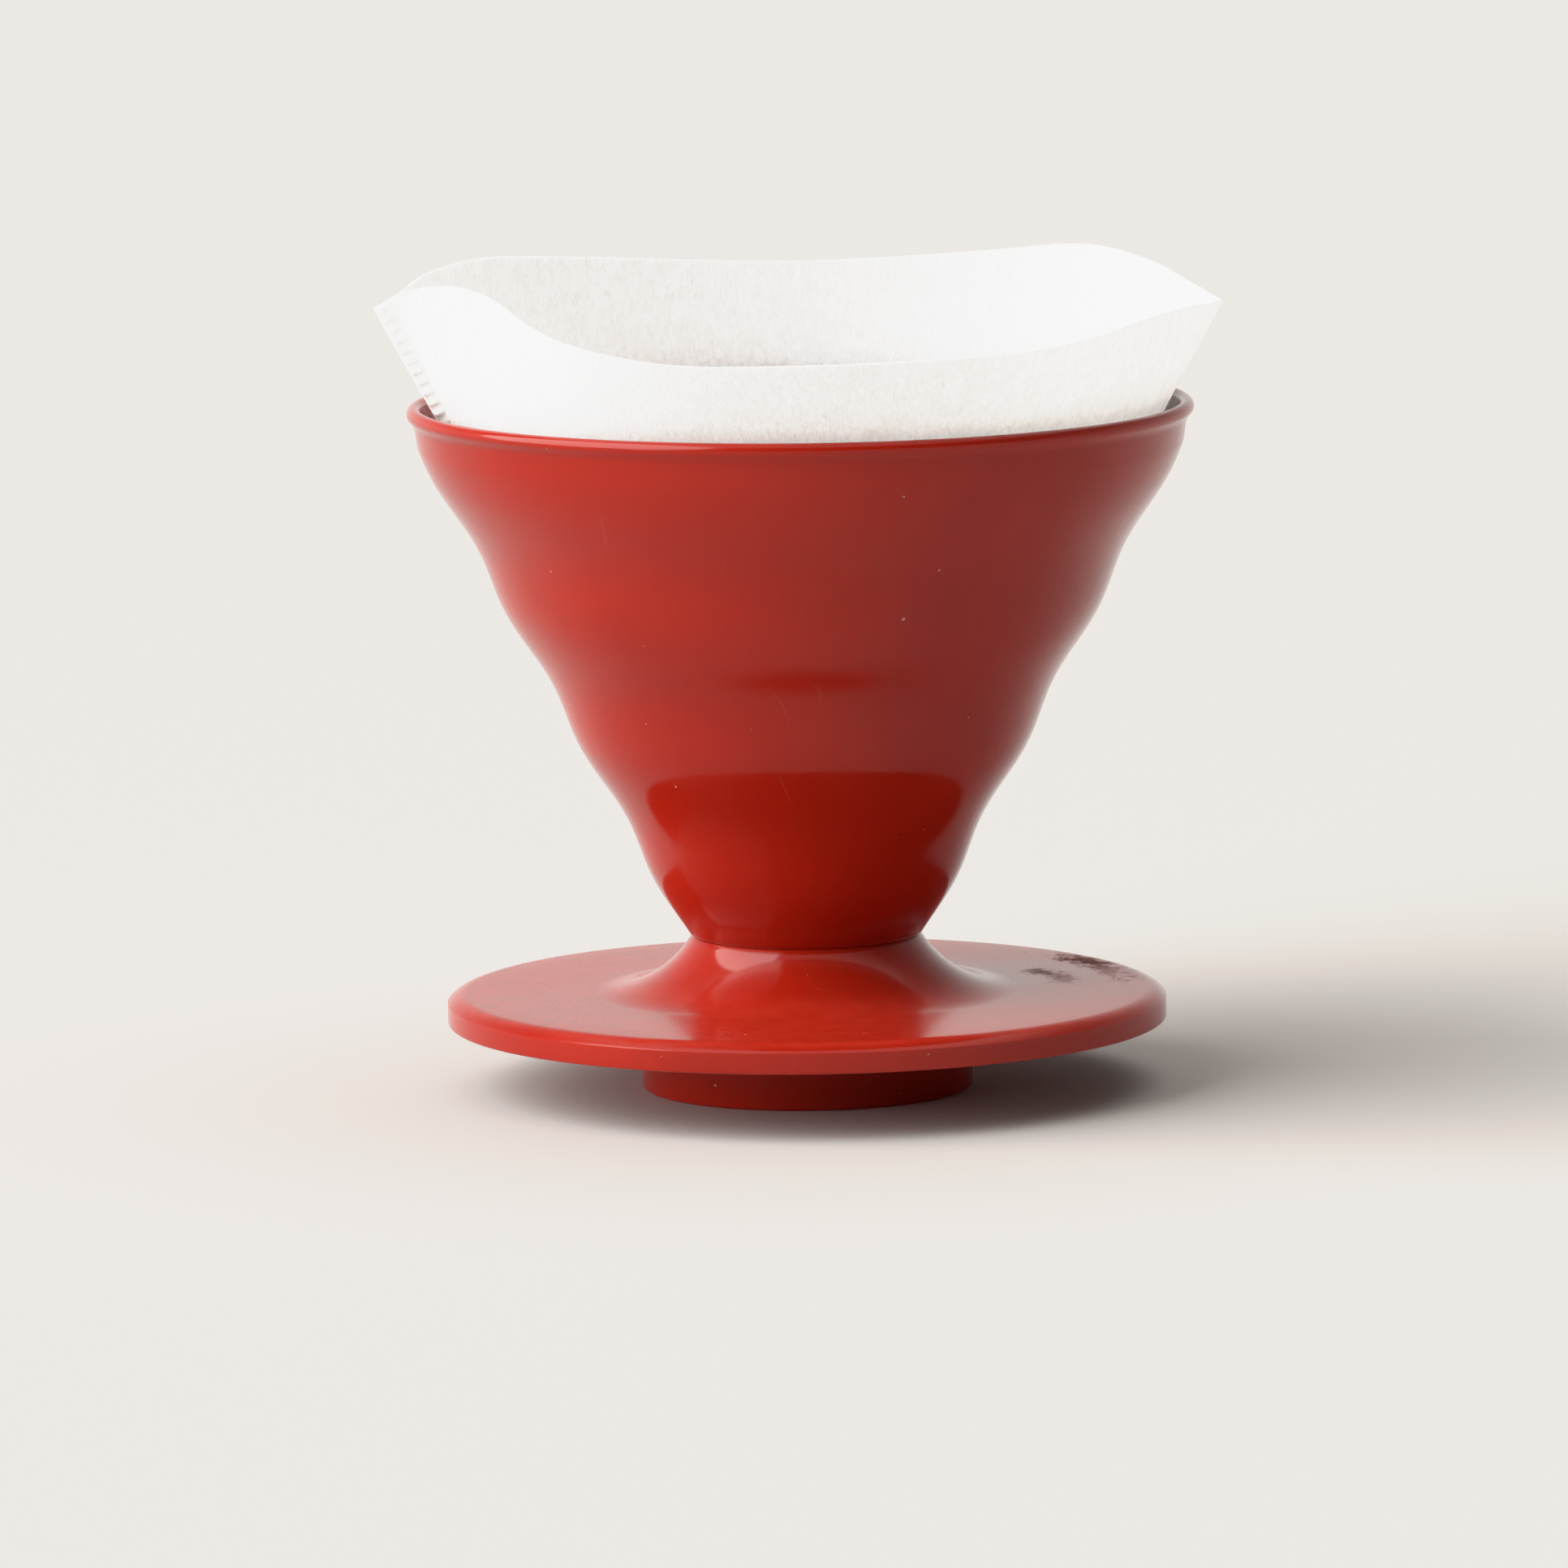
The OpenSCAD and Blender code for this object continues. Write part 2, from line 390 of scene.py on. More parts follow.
def make_rib(name, low, high, low_slope):
    """One rib from a low to a high point. low_slope is the height of its lower runout, 0 for none."""
    steps = int((high - low) / RIB_STEP)
    heights = [low + (high - low) * i / steps for i in range(steps + 1)]
    foot, crest = [], []
    for z in heights:
        rise = eased(min(1, (high - z) / RIB_RUNOUT, (z - low) / low_slope if low_slope else 1))
        top = wall_in(z) + RIB_END + (rib_crest(z) - wall_in(z) - RIB_END) * rise
        for line, r in ((foot, wall_in(z) + RIB_SUNK), (crest, top)):
            line.append((r * cos(rib_angle(z)), r * sin(rib_angle(z)), z))
    rib = draw_line(name, foot)
    bpy.ops.object.mode_set(mode="OBJECT")
    other = draw_line(name + "_crest", crest)
    bpy.ops.object.mode_set(mode="OBJECT")
    only(other)
    rib.select_set(True)
    bpy.context.view_layer.objects.active = rib
    bpy.ops.object.join()
    bpy.ops.object.mode_set(mode="EDIT")
    bpy.ops.mesh.select_all(action="SELECT")
    bpy.ops.mesh.bridge_edge_loops()
    bpy.ops.object.mode_set(mode="OBJECT")
    thick = rib.modifiers.new("thickness", "SOLIDIFY")
    thick.thickness, thick.offset = RIB_T * MM, 0
    edge = rib.modifiers.new("round_crest", "BEVEL")
    edge.width, edge.segments, edge.angle_limit = 0.55 * MM, 3, radians(50)
    bpy.ops.object.modifier_apply(modifier="thickness")
    bpy.ops.object.modifier_apply(modifier="round_crest")
    return rib


def copies_round(first, count, start):
    """Copies of a piece, each with its own mesh, evenly round the axis from the start angle."""
    made = [first]
    for i in range(count):
        if i:
            only(first)
            bpy.ops.object.duplicate(linked=False)
            made.append(bpy.context.object)
    for i, piece in enumerate(made):
        piece.rotation_euler.z = radians(start + i * 360 / count)
    bpy.ops.object.select_all(action="DESELECT")
    for piece in made:
        piece.select_set(True)
    bpy.context.view_layer.objects.active = first
    bpy.ops.object.transform_apply(location=False, rotation=True, scale=False)
    return made


rib_top = RIM_Z - 5.5
long_ribs = copies_round(make_rib("cone_ribs", NECK_Z + 2.5, rib_top, 0), RIBS, 0)
short_ribs = copies_round(make_rib("short_ribs", rib_top - SHORT_RIB, rib_top, RIB_RUNOUT), RIBS, 180 / RIBS)
bpy.ops.object.select_all(action="DESELECT")
for rib in long_ribs + short_ribs:
    rib.select_set(True)
cone_ribs = long_ribs[0]
bpy.context.view_layer.objects.active = cone_ribs
bpy.ops.object.join()
bpy.ops.object.shade_smooth_by_angle(angle=radians(40))
print(f"{2 * RIBS} ribs: {len(cone_ribs.data.polygons)} faces")

# %% [markdown]
# ## The handle
# The handle is a flat band that leaves the cone under the rim, bends round and
# comes back low on the wall. It is made as a bender would make it: a straight
# run, a bend, and a straight run. Its roots widen a little where they meet the
# wall, because a moulding has no sharp inside corner there. The lower root is
# cut off along the wall, since it meets the wall at a low angle.

# %% The handle
BAND_T, BAND_W = 4.5, 15
BEND_R = 10.25                      # of the outer bend, to the middle of the band
HANDLE_GAP, HANDLE_DROP = 7, 30     # from the rim to the handle's top, and from bend to bend
LOWER_BEND_IN = 12                  # how far inside the wall the lower run aims
ROOT = 1.13                         # how much wider and thicker the band is where it meets the wall
ROOT_REACH, OVERRUN = 9, 9          # where the lower root starts, and how far it runs past the wall's middle
CUT_DEPTH = 0.9                     # how far behind the wall's middle the overrun is cut off

bend_y = cone_high.y - BEND_R - BAND_T / 2
bend_z = RIM_Z - HANDLE_GAP - BEND_R - BAND_T / 2
lower_z = bend_z - HANDLE_DROP
lower_y = wall_out(lower_z) - LOWER_BEND_IN
fall = atan2(bend_z - lower_z, bend_y - lower_y)         # slope of the lower run
fall_turn = pi - fall                                    # how far the band bends
run = Vector((0, -cos(fall), -sin(fall)))
upper_root = wall_in(bend_z + BEND_R) + WALL / 2


def root_steps(reach):
    """Stations along a root, as (distance from the wall's middle, scale), wide at the wall and slim beyond."""
    return [(1.5, ROOT), (2.4, 1.07), (3.5, 1.03), (5.0, 1.01), (reach, 1.0)]


here = Vector((0, upper_root, bend_z + BEND_R))
bpy.ops.object.select_all(action="DESELECT")
bpy.ops.mesh.primitive_plane_add(size=MM, location=here * MM, rotation=(pi / 2, 0, 0))
handle = bpy.context.object
handle.name = "cone_handle"
handle.scale = (BAND_W * ROOT, BAND_T * ROOT, 1)
bpy.ops.object.transform_apply(location=True, rotation=True, scale=True)
bpy.ops.object.mode_set(mode="EDIT")
bpy.ops.mesh.select_all(action="SELECT")


def stretch(along, far, scale_from, scale_to, centre):
    """Extrudes the end face by a distance and resizes it about its new middle."""
    bpy.ops.mesh.extrude_region_move(TRANSFORM_OT_translate={"value": along * far * MM})
    share = scale_to / scale_from
    bpy.ops.transform.resize(value=(share, share, share), center_override=(centre + along * far) * MM)
    return centre + along * far


scale, gone = ROOT, 0
for far, wanted in root_steps(bend_y - upper_root):
    here = stretch(Vector((0, 1, 0)), far - gone, scale, wanted, here)
    scale, gone = wanted, far
bpy.ops.mesh.spin(steps=20, angle=fall_turn, center=(0, bend_y * MM, bend_z * MM), axis=(1, 0, 0))
side = Vector((0, sin(fall), -cos(fall)))
here = Vector((0, bend_y, bend_z)) + side * BEND_R
lower_run = 0
while (here + run * lower_run).y > wall_in((here + run * lower_run).z) + WALL / 2:
    lower_run += 0.05
meeting = here + run * lower_run
lower_steps = [(lower_run - far, wide) for far, wide in reversed(root_steps(ROOT_REACH))]
gone, scale = 0, 1
for far, wanted in lower_steps + [(lower_run + OVERRUN, ROOT)]:
    here = stretch(run, far - gone, scale, wanted, here)
    scale, gone = wanted, far
for _ in range(4):                  # from the end face to the stations that the cut can reach
    bpy.ops.mesh.select_more()
outward = Vector((0, cos(HALF_ANGLE), -sin(HALF_ANGLE)))
cut_at = (meeting - outward * CUT_DEPTH) * MM
bpy.ops.mesh.bisect(plane_co=cut_at, plane_no=outward, use_fill=True, clear_inner=True)
bpy.ops.mesh.select_all(action="SELECT")
bpy.ops.mesh.normals_make_consistent(inside=False)
bpy.ops.object.mode_set(mode="OBJECT")
edge = handle.modifiers.new("round_edges", "BEVEL")
edge.width, edge.segments, edge.limit_method, edge.angle_limit = 1.3 * MM, 5, "ANGLE", radians(60)
bpy.ops.object.modifier_apply(modifier="round_edges")
bpy.ops.object.shade_smooth_by_angle(angle=radians(40))
handle_end = max(vertex.co.y for vertex in handle.data.vertices) / MM
print(f"handle reaches {handle_end:.1f} mm, of {cone_high.y:.1f}")

# %% [markdown]
# ## The base
# The base is the second moulding. Its collar meets the cone's neck, flares out
# to a flat plate with a rounded shoulder, and a foot ring below the plate keeps
# it centred on a mug. It is turned from its own section.

# %% The base
FLARE_R, FOOT_R, FOOT_T, PLATE_TOP, PLATE_T = 17, 24.5, 2.5, 14.5, 2.4
SHOULDER_R, SHOULDER_W = 3.7, 2.8   # the plate's rounded shoulder and how far it reaches in
PLATE_RIM_H = 4.4
GLUE_GAP = 0.05                     # round the spigot
shoulder_x = PLATE_R - SHOULDER_W
flare_z = PLATE_TOP + FLARE_R
flare_x = wall_out(NECK_Z) + sqrt(FLARE_R ** 2 - (flare_z - NECK_Z) ** 2)
start_turn = 180 + degrees(asin((flare_z - NECK_Z + 0.25) / FLARE_R))
inside_r = FLARE_R + PLATE_T
foot_in = FOOT_R - FOOT_T
bore_r = SPIGOT_R + GLUE_GAP
collar_r = bore_r + PLATE_T
under = PLATE_TOP - PLATE_T
rim_under = PLATE_TOP - PLATE_RIM_H
base_outline = (
    [(bore_r, NECK_Z - SPIGOT_L), (bore_r, NECK_Z), (wall_out(NECK_Z) - 0.15, NECK_Z)]
    + arc((flare_x, flare_z), FLARE_R, start_turn, 270, 30)
    + [(flare_x + (shoulder_x - flare_x) * k / 4, PLATE_TOP) for k in (1, 2, 3)]
    + arc((shoulder_x, PLATE_TOP - SHOULDER_R), SHOULDER_R, 90, degrees(acos(SHOULDER_W / SHOULDER_R)), 12)
    + rounded([(PLATE_R, 11.7), (PLATE_R, rim_under, 0.35), (PLATE_R - PLATE_T, rim_under, 0.35),
               (PLATE_R - PLATE_T, under, 0.8), (FOOT_R, under, 0.8), (FOOT_R, 0, 0.6), (foot_in, 0, 0.6),
               (foot_in, 3)])
    + arc((flare_x, flare_z), inside_r, 180 + degrees(acos((flare_x - foot_in) / inside_r)),
          180 + degrees(acos((flare_x - collar_r) / inside_r)), 10)
    + [(collar_r, NECK_Z - SPIGOT_L)]
)
base_turned = turn_section("base_plate_turned", base_outline)

# %% [markdown]
# ## The paper filter
# The paper is cut as a half disc, folded once and crimped along its straight
# edges. Opened in the dripper it is a cone below the rim. Above it the fold
# and the seam still want to lie flat, so they stand out as two corners and the
# sides between them fall in. The sheet's upper edge is drawn through a few
# stations, each an angle, a radius and a height, and the sheet eases over from
# the cone that rests on the ribs to that edge.

# %% The filter's upper edge
SEAM = 187.2                        # the seam's angle; the fold is at 0
front_edge = [  # angle in degrees, radius, height
    (SEAM, 63.1, 117.3), (189.6, 61.8, 118.3), (193, 59.4, 120.0), (198, 57.0, 121.2), (205, 54.6, 121.6),
    (213, 53.0, 120.3), (224, 54.4, 117.3), (236, 57.5, 115.1), (252, 59.8, 113.3), (270, 60.2, 113.3),
    (286, 61.4, 113.7), (300.7, 62.8, 114.3), (313.7, 62.2, 115.5), (327.4, 59.6, 116.7), (342.2, 59.6, 117.0),
    (352, 61.0, 116.6), (360, 62.7, 116.1)]
rear_edge = [
    (0, 62.7, 116.1), (6, 60.6, 117.1), (15, 59.4, 118.1), (30, 59.9, 119.8), (46.3, 62.2, 120.5),
    (62, 61.6, 118.8), (76, 59.6, 117.7), (90, 58.4, 117.2), (106, 58.8, 117.7), (124, 60.8, 118.9),
    (140, 62.0, 119.9), (154, 61.4, 119.2), (168, 60.6, 117.6), (178, 61.2, 117.2), (184.4, 62.3, 117.1),
    (SEAM, 63.1, 117.3)]
FLAT_ANGLE, FLAT_DIP = 34, 0.15     # beside the seam the front side is nearly flat over this angle
OPEN_FROM = 97                      # above this height the ribs no longer shape the sheet
BELLY = 0.22                        # how far the paper swells between two ribs
INSET = 0.25                        # keeps the outer face inside the CAD cone


def between(value, low, high):
    """0 up to low, 1 from high on, and in a straight line between them."""
    return min(1, max(0, (value - low) / (high - low)))


def smooth_through(stations, x):
    """A smooth curve through stations of (x, values), ending straight at both ends."""
    i = max(k for k in range(len(stations) - 1) if stations[k][0] <= x or k == 0)
    p1, p2 = stations[i], stations[i + 1]
    p0 = stations[i - 1] if i else tuple(2 * a - b for a, b in zip(p1, p2))
    p3 = stations[i + 2] if i + 2 < len(stations) else tuple(2 * b - a for a, b in zip(p1, p2))
    t = (x - p1[0]) / (p2[0] - p1[0])
    made = []
    for a, b, c, d in zip(p0[1:], p1[1:], p2[1:], p3[1:]):
        m1 = (c - a) / (p2[0] - p0[0]) * (p2[0] - p1[0])
        m2 = (d - b) / (p3[0] - p1[0]) * (p2[0] - p1[0])
        made.append((2 * t ** 3 - 3 * t ** 2 + 1) * b + (t ** 3 - 2 * t ** 2 + t) * m1
                    + (3 * t ** 2 - 2 * t ** 3) * c + (t ** 3 - t ** 2) * m2)
    return made


def upper_edge(angle):
    """Radius and height of the sheet's edge at an angle round the axis."""
    angle %= 360
    return smooth_through(rear_edge if angle < SEAM else front_edge, angle)


def paper_point(angle, share, off=0.0):
    """A point of the sheet: share 0 is the tip and 1 the upper edge. off lifts it from the sheet, outwards."""
    edge_r, edge_z = upper_edge(angle)
    full_r = (edge_z - TIP_Z) * PAPER_SLOPE
    z = TIP_Z + (edge_z - TIP_Z) * share
    r = (z - TIP_Z) * PAPER_SLOPE
    start = (OPEN_FROM - TIP_Z) / (edge_z - TIP_Z)
    t = max(0, (share - start) / (1 - start))
    beside = (angle % 360 - SEAM) / FLAT_ANGLE
    if 0 < beside < 1:
        r *= 1 - FLAT_DIP * beside * (1 - beside) ** 2 * between(z, 30, 55) * (1 - t)
    r += (edge_r - full_r) * t * (0.35 + 0.65 * t)
    spiral = acos(min(1, max(r, 1) / RIB_TURN))
    swing = cos(RIBS * (radians(angle) - spiral))
    r += BELLY * between(z, 30, 50) * (1 - between(z, 92, 100)) * (1 - swing) / 2
    r -= INSET
    r, z = max(0, r + off * cos(PAPER_HALF_ANGLE)), z - off * sin(PAPER_HALF_ANGLE)
    a = radians(angle)
    return Vector((r * cos(a), r * sin(a), z)) * MM


def paper_at(angle, height, off=0.0):
    """The point of the sheet at an angle and a height."""
    return paper_point(angle, (height - TIP_Z) / (upper_edge(angle)[1] - TIP_Z), off)


perimeter = sum((paper_point(i + 1, 1) - paper_point(i, 1)).length for i in range(360))
print(f"upper edge {perimeter / MM:.0f} mm round; the flat half disc's arc is about 400 mm")

# %% [markdown]
# ## The filter's sheet
# The sheet starts as a cylinder with open ends. Edit mode cuts it into
# rings, and each vertex is then put in its place on the sheet, as a sculptor
# would push it. A modifier gives the paper its thickness at the end.

# %% The filter's sheet
REAR_COLUMNS, FRONT_COLUMNS, ROWS, PAPER_T = 208, 192, 78, 0.28
COLUMNS = REAR_COLUMNS + FRONT_COLUMNS
TIP_OPEN = 0.012                    # share of the height where the tip is left open, as in folded paper
column_angles = ([SEAM * i / REAR_COLUMNS for i in range(REAR_COLUMNS)]
                 + [SEAM + (360 - SEAM) * i / FRONT_COLUMNS for i in range(FRONT_COLUMNS)])
bpy.ops.object.select_all(action="DESELECT")
bpy.ops.mesh.primitive_cylinder_add(vertices=COLUMNS, radius=1, depth=2, end_fill_type="NOTHING")
filter_sheet = bpy.context.object
filter_sheet.name = "filter_sheet"
bpy.ops.object.mode_set(mode="EDIT")
for row in range(1, ROWS):
    bpy.ops.mesh.select_all(action="SELECT")
    bpy.ops.mesh.bisect(plane_co=(0, 0, -1 + 2 * row / ROWS), plane_no=(0, 0, 1))
bpy.ops.object.mode_set(mode="OBJECT")
for vertex in filter_sheet.data.vertices:
    column = round(atan2(vertex.co.x, vertex.co.y) / (2 * pi) * COLUMNS) % COLUMNS
    share = (vertex.co.z + 1) / 2
    vertex.co = paper_point(column_angles[(COLUMNS - column) % COLUMNS], TIP_OPEN + (1 - TIP_OPEN) * share)
face_outwards(filter_sheet)
thick = filter_sheet.modifiers.new("thickness", "SOLIDIFY")
thick.thickness, thick.offset = PAPER_T * MM, -1
bpy.ops.object.modifier_apply(modifier="thickness")
bpy.ops.object.shade_smooth_by_angle(angle=radians(50))
print(f"sheet: {len(filter_sheet.data.polygons)} faces")

# %% [markdown]
# ## The crimped seam
# The two straight edges are joined without glue: toothed wheels press them
# together, which leaves a strip of small cross ridges. The strip is a fine
# grid laid on the sheet beside the seam corner, raised in ridges and thickened.
# Its borders sink into the sheet, so that only the ridges show.

# %% The seam
SEAM_W, SEAM_TOP_W, SEAM_TAPER = 6.6, 3.8, 14    # width, width at the top, height over which it narrows
SEAM_T = 0.16
RIDGE_PITCH, RIDGE_SLANT = 1.76, 1.5             # from ridge to ridge, and how far a ridge climbs across
RIDGE_H, RIDGE_FADE = 0.36, 0.2                  # height of a ridge, and how much of it is lost at the top
SUNK = 0.20                                      # how deep the strip's borders lie in the sheet
seam_low, seam_high = 25.0, 116.7                # heights of its ends
seam_long = (seam_high - seam_low) / cos(PAPER_HALF_ANGLE)
along, across = 480, 14
bpy.ops.object.select_all(action="DESELECT")
bpy.ops.mesh.primitive_grid_add(x_subdivisions=across, y_subdivisions=along, size=2)
filter_seam = bpy.context.object
filter_seam.name = "filter_seam"
for vertex in filter_seam.data.vertices:
    u, v = (vertex.co.x + 1) / 2, (vertex.co.y + 1) / 2
    height = seam_low + (seam_high - seam_low) * v + u * RIDGE_SLANT
    r = hypot(*paper_at(SEAM + 1, height).xy) / MM
    wide = SEAM_TOP_W + (SEAM_W - SEAM_TOP_W) * min(1, (seam_high - height) / SEAM_TAPER)
    angle = SEAM + 0.1 + degrees(u * wide / r)
    ridge = (0.5 + 0.5 * cos(2 * pi * v * seam_long / RIDGE_PITCH)) ** 1.3
    raised = eased(min(1, u * 5, (1 - u) * 4, v * 60))
    vertex.co = paper_at(angle, height, -SUNK + raised * (SUNK + (RIDGE_H - RIDGE_FADE * v ** 6) * ridge))
face_outwards(filter_seam)
thick = filter_seam.modifiers.new("thickness", "SOLIDIFY")
thick.thickness, thick.offset = SEAM_T * MM, 0
bpy.ops.object.modifier_apply(modifier="thickness")
bpy.ops.object.shade_smooth_by_angle(angle=radians(50))
ridges = seam_long / RIDGE_PITCH
print(f"seam: {seam_long:.0f} mm long, {ridges:.0f} ridges, {len(filter_seam.data.polygons)} faces")

# %% [markdown]
# ## Finishes that several materials use
# Dust, hairline scratches and slow mottling turn up on every surface of a used
# dripper, so each is a node group with named sockets, built once and placed
# with its own values. A group puts out a mask or a height; the shader itself
# stays in the material.

# %% Groups for dust, scratches and mottling
VECTOR, FLOAT = "NodeSocketVector", "NodeSocketFloat"


def new_group(name, inputs, outputs):
    """A shader node group, with its tree, the sockets that come in and the sockets that go out."""
    tree = bpy.data.node_groups.new(name, "ShaderNodeTree")
    for label, kind, value in inputs:
        socket = tree.interface.new_socket(label, in_out="INPUT", socket_type=kind)
        if value is not None:
            socket.default_value = value
    for label in outputs:
        tree.interface.new_socket(label, in_out="OUTPUT", socket_type="NodeSocketFloat")
    return tree, tree.nodes.new("NodeGroupInput").outputs, tree.nodes.new("NodeGroupOutput").inputs


def ramp(tree, value, low, high, to_low=0.0, to_high=1.0):
    """Maps a value from one range to another with a smooth step."""
    return add(tree, "ShaderNodeMapRange", {0: value, 1: low, 2: high, 3: to_low, 4: to_high},
               interpolation_type="SMOOTHSTEP").outputs[0]


def noise(tree, vector, scale, detail=2.0, rough=0.5, warp=0.0):
    """Noise from 0 to 1 at a place."""
    return add(tree, "ShaderNodeTexNoise", {"Vector": vector, "Scale": scale, "Detail": detail,
                                            "Roughness": rough, "Distortion": warp}).outputs["Fac"]


def place_group(tree, group, links):
    """Places a node group with its own values, and returns its outputs."""
    return add(tree, "ShaderNodeGroup", links, node_tree=group).outputs


dust, into, out = new_group("dust_specks", [("Vector", VECTOR, None), ("Spacing", FLOAT, 300.0),
                                           ("Share", FLOAT, 0.2), ("Size", FLOAT, 0.06)], ["Mask"])
cells = add(dust, "ShaderNodeTexVoronoi", {"Vector": into["Vector"], "Scale": into["Spacing"],
                                           "Randomness": 1.0})
kept = add(dust, "ShaderNodeSeparateColor", {0: cells.outputs["Color"]}).outputs
near = math(dust, "LESS_THAN", cells.outputs["Distance"], math(dust, "MULTIPLY", into["Size"], kept[1]))
dust.links.new(math(dust, "MULTIPLY", near, math(dust, "LESS_THAN", kept[0], into["Share"])), out["Mask"])

scratch, into, out = new_group("hair_scratches", [("Vector", VECTOR, None), ("Scale", FLOAT, 60.0),
                                                 ("Thin", FLOAT, 0.012)], ["Mask"])
lines = None
for tilt_x, tilt_z in ((0.3, 0.5), (1.1, 2.2), (0.7, 3.9)):
    turned = add(scratch, "ShaderNodeMapping", {"Vector": into["Vector"], "Rotation": (tilt_x, 0.2, tilt_z),
                                                "Scale": (1.0, 1.0, 0.09)}).outputs[0]
    field = noise(scratch, turned, into["Scale"], 1.0, 0.4)
    gap = math(scratch, "ABSOLUTE", math(scratch, "SUBTRACT", field, 0.5))
    line = math(scratch, "LESS_THAN", gap, into["Thin"])
    patch = ramp(scratch, noise(scratch, into["Vector"], 45.0 + 10 * tilt_z), 0.6, 0.75)
    line = math(scratch, "MULTIPLY", line, patch)
    lines = line if lines is None else math(scratch, "MAXIMUM", lines, line)
scratch.links.new(lines, out["Mask"])

mottle, into, out = new_group("slow_mottle", [("Vector", VECTOR, None), ("Scale", FLOAT, 25.0)], ["Mask"])
slow = noise(mottle, into["Vector"], into["Scale"], 4.0, 0.6, 0.4)
mottle.links.new(ramp(mottle, slow, 0.3, 0.7), out["Mask"])
print("shared finishes:", [group.name for group in bpy.data.node_groups])

# %% [markdown]
# ## Red plastic
# The plastic is a deep red that carries its colour all through, and a little
# light goes into it. Its gloss is high but not perfect: the mould leaves a faint
# ripple, use leaves hairline scratches, and dust settles on it. The base has the
# same plastic, with painted light on the plate's top, a patchy brighter red that
# is also a little rougher, and a few ragged brown arcs of coffee that dripped
# there and dried.

# %% Red plastic
RED_DEEP, RED_WARM = (0.285, 0.0105, 0.0034, 1), (0.325, 0.0135, 0.0046, 1)


def mix_colour(tree, share, a, b):
    """A colour that goes from a to b as the share goes from 0 to 1."""
    node = add(tree, "ShaderNodeMix", {0: share, 6: a, 7: b}, data_type="RGBA")
    return node.outputs[2]


def stain_mask(tree, where, radius, width, middle, half_turn):
    """A dried drip mark: a ragged arc about the axis. Metres and degrees."""
    place = add(tree, "ShaderNodeSeparateXYZ", {0: where}).outputs
    turn = math(tree, "ARCTAN2", place["Y"], place["X"])
    flat = add(tree, "ShaderNodeVectorMath", {0: where, 1: (1, 1, 0)}, operation="MULTIPLY").outputs[0]
    r = add(tree, "ShaderNodeVectorMath", {0: flat}, operation="LENGTH").outputs["Value"]
    off_r = math(tree, "DIVIDE", math(tree, "SUBTRACT", r, radius), width)
    off_turn = math(tree, "DIVIDE", math(tree, "SUBTRACT", turn, radians(middle)), radians(half_turn))
    squares = [math(tree, "MULTIPLY", off, off) for off in (off_r, off_turn)]
    far = math(tree, "SQRT", math(tree, "ADD", *squares))
    breaks = math(tree, "SUBTRACT", noise(tree, where, 520.0, 7.0, 0.85), 0.5)
    ragged = math(tree, "ADD", far, math(tree, "MULTIPLY", breaks, 6.0))
    return ramp(tree, ragged, 1.3, 0.2)


